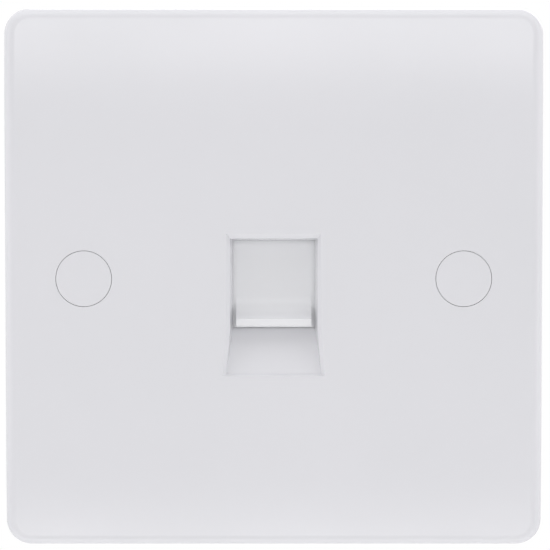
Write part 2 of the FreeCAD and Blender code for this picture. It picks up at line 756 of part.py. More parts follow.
def make_foot_hollows(body):
    """Cores out the thick foot of the guide frame from behind, with a web left in the middle."""
    high = nose_foot - s.jack_gap - s.core_wall
    low = frame_foot + s.core_wall
    outer = frame_half - s.core_wall
    web = s.core_wall / 2
    post_inner = s.post_side - s.post_width / 2 - s.core_wall
    cores = [rectangle(web, post_inner, low, high), rectangle(-post_inner, -web, low, high)]
    prism(body, "foot_hollows", "Y", cores, channel_floor, frame_back, cut=True)


def make_board_posts(body):
    """Four posts behind the guide frame: the board is screwed to two and rests on the square ones."""
    prism(body, "screwed_posts", "Y", at_each(SCREWED_POSTS, s.post_width), frame_back, board_front)
    half = s.rest_post_width / 2
    rests = [rectangle(x - half, x + half, z - half, z + half) for x, z in REST_POSTS]
    prism(body, "rest_posts", "Y", rests, frame_back, board_front)
    pilot = s.small_shank + 2 * s.thread_gap
    pilot_end = board_back - s.board_screw_length - s.pilot_spare
    prism(body, "board_pilots", "Y", at_each(SCREWED_POSTS, pilot), pilot_end, board_front, cut=True)


def make_jack_housing():
    body = new_body("jack_housing")
    half = nose_half + s.jack_step
    foot = nose_foot - s.jack_step
    top = insert_top + s.jack_roof
    prism(body, "jack_body", "Y", [rectangle(-half, half, foot, top)], frame_back, board_front)
    nose = rectangle(-nose_half, nose_half, nose_foot, nose_top)
    prism(body, "nose", "Y", [nose], channel_floor, frame_back)
    cavity_end = channel_floor + s.plug_depth
    for name, width, low, high in (
        ("plug_cavity", s.plug_width, plug_foot, s.plug_top),
        ("latch_notch", s.latch_width, latch_foot, plug_foot),
        ("latch_slit", s.latch_slit_width, slit_foot, latch_foot),
    ):
        shape = rectangle(-width / 2, width / 2, low, high)
        prism(body, name, "Y", [shape], channel_floor, cavity_end, cut=True)
    bay = s.insert_width / 2 + s.insert_gap
    bay_top = insert_top + s.insert_gap
    comb_bay = rectangle(-bay, bay, s.plug_top, bay_top)
    prism(body, "comb_bay", "Y", [comb_bay], channel_floor, board_front, cut=True)
    rail = bay + s.insert_wing
    rail_bays = rectangle(-rail, rail, s.plug_top, s.plug_top + s.insert_wing_height + s.insert_gap)
    rail_front = frame_back + s.insert_wing_start - s.insert_gap
    prism(body, "rail_bays", "Y", [rail_bays], rail_front, board_front, cut=True)
    step_bay = rectangle(-bay, bay, bay_top, bay_top + s.contact_step)
    step_front = board_front - 2 * s.contact_step_back
    prism(body, "step_bay", "Y", [step_bay], step_front, board_front, cut=True)
    pegs = [(-s.peg_spread / 2, -s.peg_below), (s.peg_spread / 2, -s.peg_below)]
    prism(body, "pegs", "Y", at_each(pegs, s.peg_width), board_front, board_back + s.peg_proud)
    margin = s.jack_panel_margin
    panel = rectangle(frame_back + margin, board_front - margin, foot + margin, top - margin)
    prism(body, "right_recess", "X", [panel], half - s.jack_panel_recess, half, cut=True)
    prism(body, "left_recess", "X", [panel], -half, s.jack_panel_recess - half, cut=True)
    return body


def contact_x(position):
    return s.contact_pitch * (position - (CONTACTS - 1) / 2)


def make_contact_insert():
    """The comb: grooves on top for the contacts, a nose inside their bends, and fins between their tips."""
    body = new_body("contact_insert")
    half = s.insert_width / 2
    nose_front = bend_y + s.insert_nose
    groove_floor = contact_z - s.contact_thickness / 2
    nose_low = groove_floor - s.insert_nose_height
    profile = loop([
        (nose_front, insert_top), (nose_front, nose_low),
        (nose_front + s.insert_nose_depth, s.plug_top), (board_front, s.plug_top), (board_front, insert_top),
    ])
    prism(body, "comb", "X", [profile], -half, half)
    rail = half + s.insert_wing
    rail_top = s.plug_top + s.insert_wing_height
    inside = half - s.fin_thickness
    rails = [rectangle(inside, rail, s.plug_top, rail_top), rectangle(-rail, -inside, s.plug_top, rail_top)]
    prism(body, "rails", "Y", rails, frame_back + s.insert_wing_start, board_front)
    groove = s.insert_groove / 2
    grooves = []
    for n in range(CONTACTS):
        x = contact_x(n)
        grooves.append(rectangle(x - groove, x + groove, groove_floor, insert_top))
    prism(body, "grooves", "Y", grooves, nose_front, board_front, cut=True)
    fin_back = channel_floor + s.plug_depth - s.fin_gap
    fin = s.fin_thickness / 2
    fins = []
    for n in range(CONTACTS + 1):
        middle = contact_x(n - 0.5)
        fins.append(rectangle(middle - fin, middle + fin, fin_back - s.fin_depth, fin_back))
    prism(body, "fins", "Z", fins, s.plug_top - s.fin_drop, s.plug_top + s.insert_wing_height / 2)
    return body


def make_contact(position):
    """One flat wire: a tail through the board, a run over the comb, the front bend and the sprung end."""
    body = new_body(f"contact_{position + 1}")
    stepped = position % 2 == 1
    tail_z = contact_z + s.contact_step if stepped else contact_z
    tail_y = board_back + s.contact_tail
    turn_z = contact_z - s.contact_bend
    slope = s.contact_angle
    spring_start = (bend_y - s.contact_bend * sine(slope), turn_z - s.contact_bend * cosine(slope))
    tip = (spring_start[0] + s.contact_reach, spring_start[1] - s.contact_reach * tangent(slope))
    front = (bend_y - s.contact_bend, turn_z)
    points = [(tail_y, tail_z)]
    if stepped:
        step_back = board_front - s.contact_step_back / 2
        points += [(step_back, tail_z), (step_back - s.contact_step, contact_z)]
    bend = len(points)
    points += [(bend_y, contact_z), front, spring_start, tip]
    arcs = {
        bend: ((bend_y, turn_z), s.contact_bend),
        bend + 1: ((bend_y, turn_z), s.contact_bend),
    }
    path = sketch_on(body, "X", "path", 0)
    draw(path, [{"points": points, "arcs": arcs, "closed": False}])
    half_width = s.contact_width / 2
    half_height = s.contact_thickness / 2
    section = sketch_on(body, "Y", "section", tail_y)
    draw(section, [rectangle(-half_width, half_width, tail_z - half_height, tail_z + half_height)])
    wire = body.newObject("PartDesign::AdditivePipe", "wire")
    wire.Profile = section
    wire.Spine = path
    wire.Transition = "Right corner"
    place(body, x=contact_x(position))
    return body


def terminal_z(position):
    return s.terminal_pitch * ((TERMINALS_A_SIDE - 1) / 2 - position) - s.terminal_middle


def make_circuit_board():
    body = new_body("circuit_board")
    half = s.board_width / 2
    sheet_form = rectangle(-half, half, -s.board_below, s.board_above)
    outline = prism(body, "outline", "Y", [sheet_form], board_front, board_back)
    soften(body, "corners", outline, s.board_corner, lambda edge: runs_along(edge, 1), "Chamfer")
    tongue_half = s.tongue_width / 2
    tongue_low = -s.board_below - s.tongue_length
    tongue = rectangle(-tongue_half, tongue_half, tongue_low, -s.board_below + s.board_corner)
    prism(body, "tongue", "Y", [tongue], board_front, board_back)
    hole = s.tail_hole / 2
    holes = []
    for n in range(CONTACTS):
        x = contact_x(n)
        z = contact_z + s.contact_step if n % 2 else contact_z
        holes.append(rectangle(x - hole, x + hole, z - hole, z + hole))
    peg_hole = s.peg_width + 2 * s.peg_gap
    holes += [disc(side * s.peg_spread / 2, -s.peg_below, peg_hole) for side in (-1, 1)]
    holes += at_each(SCREWED_POSTS, s.small_shank + 2 * s.lug_bore_gap)
    thick = s.blade_thickness / 2 + s.blade_gap
    wide = s.blade_tail_width / 2 + s.blade_gap
    for side in (-1, 1):
        x = side * terminal_x
        for n in range(TERMINALS_A_SIDE):
            z = terminal_z(n)
            holes.append(rectangle(x - thick, x + thick, z - wide, z + wide))
        tie = side * s.tie_slot_spread / 2
        tie_low = tongue_low + (s.tongue_length - s.tie_slot_length) / 2
        slot = s.tie_slot_width / 2
        holes.append(rectangle(tie - slot, tie + slot, tie_low, tie_low + s.tie_slot_length))
    prism(body, "holes", "Y", holes, board_front, board_back, cut=True)
    return body


def make_terminal_block(label, side):
    """One comb profile with four wire slots, and a bed for each blade."""
    body = new_body(label)
    reach = s.terminal_pitch * TERMINALS_A_SIDE / 2 + s.terminal_end - s.terminal_pitch / 4
    low = -s.terminal_middle - reach
    high = -s.terminal_middle + reach
    slot = s.wire_slot / 2
    mouth = s.wire_mouth / 2
    neck = terminal_top - s.wire_mouth_depth
    floor = terminal_top - s.wire_slot_depth
    points = [(board_back, low), (board_back, high), (terminal_top, high)]
    for n in range(TERMINALS_A_SIDE):
        z = terminal_z(n)
        points += [
            (terminal_top, z + mouth), (neck, z + slot), (floor, z + slot),
            (floor, z - slot), (neck, z - slot), (terminal_top, z - mouth),
        ]
    points.append((terminal_top, low))
    near, far = s.terminal_inner, s.terminal_inner + s.terminal_width
    left, right = (near, far) if side > 0 else (-far, -near)
    prism(body, "comb", "X", [loop(points)], left, right)
    thick = s.blade_thickness / 2 + s.blade_gap
    wide = s.blade_width / 2 + s.blade_gap
    x = side * terminal_x
    beds = [
        rectangle(x - thick, x + thick, terminal_z(n) - wide, terminal_z(n) + wide)
        for n in range(TERMINALS_A_SIDE)
    ]
    bed_end = terminal_top - s.blade_below_top + s.blade_gap
    prism(body, "blade_beds", "Y", beds, board_back, bed_end, cut=True)
    return body


def make_blade(position):
    """A forked blade that cuts into a wire, with a tail through the board."""
    body = new_body(f"idc_blade_{position + 1}")
    side = -1 if position < TERMINALS_A_SIDE else 1
    top = terminal_top - s.blade_below_top
    wide = s.blade_width / 2
    slit = s.blade_slit / 2
    mouth = s.blade_mouth / 2
    tail = s.blade_tail_width / 2
    tail_end = board_front - s.blade_tail
    fork = loop([
        (tail_end, -tail), (tail_end, tail), (board_back, tail), (board_back, wide), (top, wide),
        (top, mouth), (top - s.blade_mouth_depth, slit), (top - s.blade_slit_depth, slit),
        (top - s.blade_slit_depth, -slit), (top - s.blade_mouth_depth, -slit), (top, -mouth),
        (top, -wide), (board_back, -wide), (board_back, -tail),
    ])
    prism(body, "fork", "X", [fork], -s.blade_thickness / 2, s.blade_thickness / 2)
    place(body, x=side * terminal_x, z=terminal_z(position % TERMINALS_A_SIDE))
    return body


def make_screw(label, shank, length, head, middle, turned=False):
    """A screw with a cross recess. shank starts its outline behind the head; head is its width and height."""
    body = new_body(label)
    width, height = head
    crown = -height
    sketch = sketch_on(body, "Z", "half_section", 0)
    outline = [(0, crown), (width / 2, crown), (width / 2, 0)] + shank
    draw(sketch, [loop(outline + [(shank[-1][0], length), (0, length)])])
    turned_form = body.newObject("PartDesign::Revolution", "turned_form")
    turned_form.Profile = sketch
    turned_form.ReferenceAxis = (sketch, ["V_Axis"])
    turned_form.Angle = 360
    reach = width * s.cross_reach / 2
    arm = width * s.cross_arm / 2
    cross = loop([
        (-arm, -reach), (arm, -reach), (arm, -arm), (reach, -arm), (reach, arm), (arm, arm),
        (arm, reach), (-arm, reach), (-arm, arm), (-reach, arm), (-reach, -arm), (-arm, -arm),
    ])
    prism(body, "cross_recess", "Y", [cross], crown, crown + height * s.cross_depth, cut=True)
    if turned:
        body.Placement = FreeCAD.Placement(FreeCAD.Vector(), FreeCAD.Rotation(FreeCAD.Vector(0, 0, 1), 180))
    x, y, z = middle
    place(body, x=x, y=y, z=z)
    return body


def make_screw_set(label, shank, length, head, middles, turned=False):
    screws = [
        make_screw(f"{label}_{n}", shank, length, head, middle, turned)
        for n, middle in enumerate(middles, start=1)
    ]
    group = doc.addObject("Part::Compound", label)
    group.Label = label
    group.Links = screws
    return group


def make_all():
    wall_head = (s.head_width, s.head_height)
    neck = s.neck_width / 2
    thread = s.shank_width / 2
    necked = [(neck, 0), (neck, s.fixing_floor), (thread, s.fixing_floor)]
    small_head = (s.small_head, s.small_head_height)
    plain = [(s.small_shank / 2, 0)]
    in_wall = [(side * s.fixing_pitch / 2, head_seat, 0) for side in (-1, 1)]
    in_lugs = [(x, lug_back, z) for x, z in LUGS]
    in_board = [(x, board_back, z) for x, z in SCREWED_POSTS]
    parts = [make_faceplate()]
    parts.append(make_screw_cap("screw_cap_left", -s.fixing_pitch / 2))
    parts.append(make_screw_cap("screw_cap_right", s.fixing_pitch / 2))
    parts.append(make_screw_set("fixing_screws", necked, s.shank_length, wall_head, in_wall))
    parts.append(make_shutter())
    parts.append(make_spring("shutter_spring_left", -spring_x))
    parts.append(make_spring("shutter_spring_right", spring_x))
    parts.append(make_guide_frame())
    parts.append(make_screw_set("frame_screws", plain, s.frame_screw_length, small_head, in_lugs, True))
    parts.append(make_jack_housing())
    parts.append(make_contact_insert())
    parts += [make_contact(n) for n in range(CONTACTS)]
    parts.append(make_circuit_board())
    parts.append(make_terminal_block("idc_block_left", -1))
    parts.append(make_terminal_block("idc_block_right", 1))
    parts += [make_blade(n) for n in range(2 * TERMINALS_A_SIDE)]
    parts.append(make_screw_set("board_screws", plain, s.board_screw_length, small_head, in_board, True))
    return parts


def check(parts):
    """Stops with the names of whatever failed to build."""
    failed = [item.Name for item in doc.Objects if {"Invalid", "Error"} & set(item.State)]
    for item in parts:
        if item.Shape.isNull() or not item.Shape.isValid() or not item.Shape.Solids:
            failed.append(item.Label)
    if failed:
        raise RuntimeError("not built: " + ", ".join(failed))


parts = make_all()
doc.recompute()
check(parts)
os.makedirs("parts", exist_ok=True)
for item in parts:
    item.Shape.exportStep(f"parts/{item.Label}.step")
    box = item.Shape.BoundBox
    print(
        f"{item.Label}: {len(item.Shape.Solids)} solid, {item.Shape.Volume:.1f} mm3, "
        f"x {box.XMin:.2f} {box.XMax:.2f}, y {box.YMin:.2f} {box.YMax:.2f}, z {box.ZMin:.2f} {box.ZMax:.2f}"
    )
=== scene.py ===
import json
import math

import bmesh
import bpy
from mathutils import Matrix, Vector


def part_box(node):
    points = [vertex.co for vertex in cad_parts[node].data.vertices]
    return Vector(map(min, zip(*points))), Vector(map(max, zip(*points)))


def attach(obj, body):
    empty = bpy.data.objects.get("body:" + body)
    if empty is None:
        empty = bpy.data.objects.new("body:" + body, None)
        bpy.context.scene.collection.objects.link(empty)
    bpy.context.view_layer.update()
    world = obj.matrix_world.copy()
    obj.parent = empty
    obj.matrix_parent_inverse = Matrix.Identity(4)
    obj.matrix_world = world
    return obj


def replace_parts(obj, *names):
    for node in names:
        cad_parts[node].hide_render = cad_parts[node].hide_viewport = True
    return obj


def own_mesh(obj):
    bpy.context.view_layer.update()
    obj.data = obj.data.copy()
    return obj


# Metres. X is right and Z is up, seen from the room. Y points into the wall.
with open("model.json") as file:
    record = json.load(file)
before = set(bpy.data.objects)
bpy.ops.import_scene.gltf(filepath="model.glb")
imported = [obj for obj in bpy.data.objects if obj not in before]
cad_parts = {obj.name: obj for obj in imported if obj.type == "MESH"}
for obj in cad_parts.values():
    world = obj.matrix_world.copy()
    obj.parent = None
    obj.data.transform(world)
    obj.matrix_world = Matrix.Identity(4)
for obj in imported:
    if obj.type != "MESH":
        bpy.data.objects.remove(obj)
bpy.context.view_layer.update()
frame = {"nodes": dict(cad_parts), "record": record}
nodes = frame["nodes"]
scene = bpy.context.scene
scene.view_settings.view_transform = "Standard"
MM = 0.001


# Camera and light

CAMERA_SENSOR = 36
CAMERA_LENS = 216
CAMERA_CLIP = (0.05, 50)
CAMERA_ELEVATION = math.radians(3.9)
CAMERA_DISTANCE = 0.5235
CAMERA_TARGET = (0.0002, -0.0085, 0.0006)

# Name, place, target, width and height, and watts
LAMPS = (
    ("lamp_over", (0, -0.3, 1.1), (0, -0.1, 0), (1.4, 0.8), 1.8),
    ("lamp_left", (-1.1, -0.3, 0.2), (0, 0, 0), (0.6, 0.8), 0.8),
    ("lamp_right", (1.1, -0.3, 0.2), (0, 0, 0), (0.6, 0.8), 0.8),
    ("lamp_front_high", (0, -1.15, 0.36), (0, 0, 0), (0.66, 0.34), 2.0),
    ("lamp_front_low", (0, -0.58, -0.32), (0, 0, 0), (0.5, 0.115), 0.48),
    ("lamp_under", (0, -0.09, -0.4), (0, -0.02, 0), (1.0, 0.2), 0.45),
    ("lamp_back", (0.3, 0.9, 0.5), (0, 0, 0), (0.9, 0.7), 3.0),
)

# The world is a light tent. Its strength changes with the direction's Y, from the camera's side to the back.
WORLD_FRONT = 0.12
WORLD_SIDE = 1.38
WORLD_BACK = 0.65
FRONT_TO_SIDE = (-1, -0.2)
SIDE_TO_BACK = (0.05, 0.6)
WORLD_LIGHT = (0.99, 0.982, 1, 1)
WHITE = (1, 1, 1, 1)


def point_at(item, target):
    item.rotation_mode = "QUATERNION"
    item.rotation_quaternion = (Vector(target) - item.location).to_track_quat("-Z", "Y")


def add_camera():
    data = bpy.data.cameras.new("camera")
    data.sensor_width = CAMERA_SENSOR
    data.lens = CAMERA_LENS
    data.clip_start, data.clip_end = CAMERA_CLIP
    item = bpy.data.objects.new("camera", data)
    scene.collection.objects.link(item)
    back = Vector((0, -math.cos(CAMERA_ELEVATION), math.sin(CAMERA_ELEVATION)))
    item.location = Vector(CAMERA_TARGET) + back * CAMERA_DISTANCE
    point_at(item, CAMERA_TARGET)
    scene.camera = item


def add_lamp(name, place, target, size, power):
    data = bpy.data.lights.new(name, "AREA")
    data.shape = "RECTANGLE"
    data.size, data.size_y = size
    data.energy = power
    item = bpy.data.objects.new(name, data)
    scene.collection.objects.link(item)
    item.location = place
    point_at(item, target)


class Nodes:
    """Short calls for building one material or world."""

    def __init__(self, tree):
        self.tree = tree
        tree.nodes.clear()

    def add(self, kind, **settings):
        node = self.tree.nodes.new(kind)
        for name, value in settings.items():
            setattr(node, name, value)
        return node

    def join(self, start, end):
        self.tree.links.new(start, end)

    def fade(self, value, limits):
        """A smooth step of value between two limits. The caller sets what it leads from and to."""
        node = self.add("ShaderNodeMapRange", interpolation_type="SMOOTHSTEP")
        node.inputs["From Min"].default_value, node.inputs["From Max"].default_value = limits
        self.join(value, node.inputs["Value"])
        return node


def make_world():
    """Lights the object with the tent, and shows plain white to the camera, in gloss and through glass."""
    world = bpy.data.worlds.new("studio")
    world.use_nodes = True
    scene.world = world
    n = Nodes(world.node_tree)
    path = n.add("ShaderNodeLightPath")
    seen = path.outputs["Is Camera Ray"]
    for output in ("Is Glossy Ray", "Is Transmission Ray"):
        either = n.add("ShaderNodeMath", operation="MAXIMUM")
        n.join(seen, either.inputs[0])
        n.join(path.outputs[output], either.inputs[1])
        seen = either.outputs[0]
    fill = n.add("ShaderNodeBackground")
    fill.inputs["Color"].default_value = WORLD_LIGHT
    axes = n.add("ShaderNodeSeparateXYZ")
    n.join(n.add("ShaderNodeTexCoord").outputs["Generated"], axes.inputs[0])
    wall = n.fade(axes.outputs["Y"], FRONT_TO_SIDE)
    wall.inputs["To Min"].default_value = WORLD_FRONT
    wall.inputs["To Max"].default_value = WORLD_SIDE
    rear = n.fade(axes.outputs["Y"], SIDE_TO_BACK)
    n.join(wall.outputs["Result"], rear.inputs["To Min"])
    rear.inputs["To Max"].default_value = WORLD_BACK
    n.join(rear.outputs["Result"], fill.inputs["Strength"])
    plain = n.add("ShaderNodeBackground")
    plain.inputs["Color"].default_value = WHITE
    mix = n.add("ShaderNodeMixShader")
    out = n.add("ShaderNodeOutputWorld")
    n.join(seen, mix.inputs[0])
    n.join(fill.outputs[0], mix.inputs[1])
    n.join(plain.outputs[0], mix.inputs[2])
    n.join(mix.outputs[0], out.inputs[0])


add_camera()
for lamp in LAMPS:
    add_lamp(*lamp)
make_world()


# Materials

TEXTURE_MIDDLE = (0.3, 0.7)
COLOUR_DETAIL = 2.0
ROUGH_DETAIL = 4.0
BUMP_DETAIL = 3.0


def noise(n, coords, scale, detail):
    node = n.add("ShaderNodeTexNoise")
    node.inputs["Scale"].default_value = scale
    node.inputs["Detail"].default_value = detail
    n.join(coords, node.inputs["Vector"])
    return node.outputs["Fac"]


def spread(n, value, low, high):
    """Maps a texture's middle range to low and high."""
    node = n.add("ShaderNodeMapRange")
    node.inputs["From Min"].default_value, node.inputs["From Max"].default_value = TEXTURE_MIDDLE
    node.inputs["To Min"].default_value = low
    node.inputs["To Max"].default_value = high
    n.join(value, node.inputs["Value"])
    return node.outputs["Result"]


def surface(name, colour, second, patch, rough, grain, height, metallic=0.0):
    """A material: two close colours in patches, a roughness range, and a fine bump.

    patch and grain are the sizes of the patches and of the bump in metres, and height is the bump's depth.
    Each roughness range stays on one side of 0.27, at which the renderer's denoiser leaves an outline."""
    material = bpy.data.materials.new(name)
    material.use_nodes = True
    n = Nodes(material.node_tree)
    shader = n.add("ShaderNodeBsdfPrincipled")
    out = n.add("ShaderNodeOutputMaterial")
    n.join(shader.outputs[0], out.inputs["Surface"])
    shader.inputs["Metallic"].default_value = metallic
    coords = n.add("ShaderNodeTexCoord").outputs["Object"]
    mix = n.add("ShaderNodeMix", data_type="RGBA")
    factor, first_colour, second_colour = mix.inputs[0], mix.inputs[6], mix.inputs[7]
    first_colour.default_value = (*colour, 1)
    second_colour.default_value = (*second, 1)
    n.join(spread(n, noise(n, coords, 1 / patch, COLOUR_DETAIL), 0, 1), factor)
    n.join(mix.outputs[2], shader.inputs["Base Color"])
    n.join(spread(n, noise(n, coords, 2 / patch, ROUGH_DETAIL), *rough), shader.inputs["Roughness"])
    bump = n.add("ShaderNodeBump")
    bump.inputs["Strength"].default_value = 1
    bump.inputs["Distance"].default_value = height
    n.join(noise(n, coords, 1 / grain, BUMP_DETAIL), bump.inputs["Height"])
    n.join(bump.outputs[0], shader.inputs["Normal"])
    return material


plate_white = surface(
    "plate_white", (0.74, 0.74, 0.765), (0.725, 0.727, 0.75),
    patch=0.03, rough=(0.22, 0.265), grain=0.0004, height=0.000002,
)
shutter_white = surface(
    "shutter_white", (0.81, 0.815, 0.83), (0.795, 0.8, 0.815),
    patch=0.01, rough=(0.32, 0.4), grain=0.0003, height=0.000002,
)
frame_white = surface(
    "frame_white", (0.68, 0.68, 0.67), (0.65, 0.65, 0.64),
    patch=0.01, rough=(0.45, 0.6), grain=0.0003, height=0.000006,
)
jack_black = surface(
    "jack_black", (0.03, 0.03, 0.032), (0.04, 0.04, 0.042),
    patch=0.008, rough=(0.4, 0.55), grain=0.0002, height=0.000005,
)
comb_grey = surface(
    "comb_grey", (0.25, 0.25, 0.24), (0.22, 0.22, 0.21),
    patch=0.006, rough=(0.45, 0.6), grain=0.0002, height=0.000004,
)
terminal_white = surface(
    "terminal_white", (0.62, 0.62, 0.59), (0.58, 0.58, 0.55),
    patch=0.008, rough=(0.45, 0.6), grain=0.0003, height=0.000005,
)
board_green = surface(
    "board_green", (0.012, 0.13, 0.05), (0.016, 0.16, 0.065),
    patch=0.006, rough=(0.28, 0.36), grain=0.0006, height=0.000004,
)
gold = surface(
    "gold", (0.83, 0.6, 0.22), (0.78, 0.55, 0.2),
    patch=0.003, rough=(0.28, 0.38), grain=0.0002, height=0.000001, metallic=1.0,
)
tin = surface(
    "tin", (0.72, 0.71, 0.68), (0.62, 0.61, 0.58),
    patch=0.002, rough=(0.28, 0.45), grain=0.0002, height=0.000002, metallic=1.0,
)
spring_steel = surface(
    "spring_steel", (0.56, 0.56, 0.57), (0.48, 0.48, 0.49),
    patch=0.002, rough=(0.28, 0.4), grain=0.0002, height=0.000002, metallic=1.0,
)
zinc = surface(
    "zinc", (0.68, 0.67, 0.64), (0.58, 0.57, 0.54),
    patch=0.002, rough=(0.28, 0.42), grain=0.0002, height=0.000003, metallic=1.0,
)
solder = surface(
    "solder", (0.7, 0.7, 0.7), (0.6, 0.6, 0.61),
    patch=0.001, rough=(0.28, 0.36), grain=0.0004, height=0.000004, metallic=1.0,
)
track_green = surface(
    "track_green", (0.03, 0.24, 0.1), (0.035, 0.27, 0.12),
    patch=0.004, rough=(0.28, 0.34), grain=0.0005, height=0.000003,
)
floor_white = surface(
    "floor_white", (0.68, 0.68, 0.68), (0.67, 0.67, 0.67),
    patch=0.2, rough=(0.6, 0.7), grain=0.002, height=0.00002,
)

FINISHES = {
    "plate_plastic": plate_white,
    "shutter_plastic": shutter_white,
    "frame_plastic": frame_white,
    "jack_plastic": jack_black,
    "comb_plastic": comb_grey,
    "terminal_plastic": terminal_white,
    "board_laminate": board_green,
    "contact_metal": gold,
    "blade_metal": tin,
    "spring_steel": spring_steel,
    "screw_steel": zinc,
}


def finish_node(node, material):
    item = nodes[node]
    if not item.material_slots:
        item.data.materials.append(material)
    for each in item.material_slots:
        each.material = material


for part in frame["record"]["subparts"]:
    finish_node(part["node"], FINISHES[part["material_slot"]])


# Meshes

def corners_of(node):
    """A node's lowest and highest corners."""
    low, high = (Vector(corner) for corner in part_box(node))
    return low, high


def middle_of(node):
    low, high = corners_of(node)
    return (low + high) / 2


def round_ring(centre, across, up, radius, count):
    """Points round a circle in the plane of two directions. radius is a number, or a call of the angle."""
    points = []
    for n in range(count):
        angle = 2 * math.pi * n / count
        reach = radius(angle) if callable(radius) else radius
        points.append(centre + (across * math.cos(angle) + up * math.sin(angle)) * reach)
    return points


def skin(shape, rings, caps=(True, True)):
    """Joins closed rings of points, one after another, and returns the rings' vertices."""
    rows = [[shape.verts.new(point) for point in ring] for ring in rings]
    count = len(rows[0])
    for low, high in zip(rows, rows[1:]):
        for n in range(count):
            after = (n + 1) % count
            shape.faces.new((low[n], low[after], high[after], high[n]))
    for row, capped in zip((rows[0], rows[-1]), caps):
        if capped:
            shape.faces.new(row)
    return rows


def make_object(name, build, material):
    """build adds its faces to an empty mesh."""
    mesh = bpy.data.meshes.new(name)
    shape = bmesh.new()
    build(shape)
    bmesh.ops.recalc_face_normals(shape, faces=shape.faces)
    shape.to_mesh(mesh)
    shape.free()
    mesh.materials.append(material)
    item = bpy.data.objects.new(name, mesh)
    scene.collection.objects.link(item)
    return item


def add_piece(name, build, material, crease=40):
    """Makes a piece that rides on the socket. Edges sharper than crease, in degrees, stay sharp."""
    item = make_object(name, build, material)
    item.data.shade_smooth()
    item.data.set_sharp_from_angle(angle=math.radians(crease))
    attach(item, "socket")
    return item


# Springs of round wire, with a closed turn at each end

SPRING_WIRE = 0.35 * MM
SPRING_TURNS = 7
SPRING_STEPS = 28
WIRE_SIDES = 10
CLOSED_PITCH = 1.1 * SPRING_WIRE


def coil_height(turn, rise):
    if turn <= 1:
        return turn * CLOSED_PITCH
    if turn >= SPRING_TURNS - 1:
        return rise - (SPRING_TURNS - turn) * CLOSED_PITCH
    return CLOSED_PITCH + (turn - 1) * (rise - 2 * CLOSED_PITCH) / (SPRING_TURNS - 2)


def build_spring(shape, node):
    low, high = corners_of(node)
    centre = (low + high) / 2
    radius = (high.y - low.y - SPRING_WIRE) / 2
    rise = high.z - low.z - SPRING_WIRE
    line = []
    for n in range(SPRING_TURNS * SPRING_STEPS + 1):
        turn = n / SPRING_STEPS
        angle = 2 * math.pi * turn
        level = low.z + SPRING_WIRE / 2 + coil_height(turn, rise)
        out = Vector((math.cos(angle), math.sin(angle), 0))
        line.append((Vector((centre.x, centre.y, level)) + out * radius, out))
    rings = []
    for n, (point, out) in enumerate(line):
        along = line[min(n + 1, len(line) - 1)][0] - line[max(n - 1, 0)][0]
        up = along.cross(out).normalized()
        rings.append(round_ring(point, out, up, SPRING_WIRE / 2, WIRE_SIDES))
    skin(shape, rings)


for side in ("left", "right"):
    node = f"shutter_spring_{side}"
    spring = add_piece(
        f"spring_coil_{side}", lambda shape: build_spring(shape, node), spring_steel,
    )
    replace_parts(spring, node)
    low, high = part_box(node)
    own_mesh(spring)


# Screws with a domed head, a cross recess and a thread

SCREW_SIDES = 24
SCREW_CREASE = 50
RINGS_PER_TURN = 6

# The thread's depth is a share of its pitch. TOOTH_TOP and TOOTH_SLOPE cut a flat root and crest.
THREAD_DEPTH = 0.55
TOOTH_TOP = 1.6
TOOTH_SLOPE = 3.2

# The tip narrows to this share of the width, over this many turns.
TIP_WIDTH = 0.6
TIP_NARROWS = 0.4
TIP_TURNS = 2

# The head's outline from its rim to its top, as shares of its width and height
HEAD_UNDERCUT = 0.05
HEAD_OUTLINE = ((0.5, 0.08), (0.5, 0.45), (0.49, 0.66), (0.46, 0.83), (0.41, 0.95), (0.35, 1))

# The recess, as shares of the head's width, and its floor as a share of the head's height
RECESS_REACH = 0.29
RECESS_ARM = 0.065
RECESS_FLOOR = 0.5
RECESS_TAPER = 0.6
QUARTERS = ((1, 0), (0, 1), (-1, 0), (0, -1))


def tooth(phase):
    """Height of a thread's flank, from 0 in the root to 1 on the crest."""
    return max(0.0, min(1.0, TOOTH_TOP - TOOTH_SLOPE * abs(phase % 1 - 0.5)))


def thread_rings(seat, across, up, along, sense, neck_length, shank, pitch):
    """Rings from the tip to the neck, on which a tooth goes round once for each pitch."""
    width, length = shank
    crest = width / 2
    root = crest - THREAD_DEPTH * pitch
    rings = []
    rows = round((length - neck_length) / pitch * RINGS_PER_TURN)
    for n in range(rows, 0, -1):
        reach = neck_length + (length - neck_length) * n / rows
        left = (length - reach) / pitch
        fade = min(1.0, left, (reach - neck_length) / pitch)
        point = min(1.0, TIP_WIDTH + TIP_NARROWS * left / TIP_TURNS)

        def radius(angle):
            height = tooth(reach / pitch - sense * angle / (2 * math.pi))
            return (root + (crest - root) * fade * height) * point

        rings.append(round_ring(seat + along * reach, across, up, radius, SCREW_SIDES))
    return rings


def recess_corners(across, up, head_width):
    """The twelve corners of a cross, one quarter after another."""
    arm, reach = RECESS_ARM * head_width, RECESS_REACH * head_width
    corners = []
    for x, z in QUARTERS:
        for far, aside in ((reach, -arm), (reach, arm), (arm, arm)):
            corners.append(across * (x * far - z * aside) + up * (z * far + x * aside))
    return corners


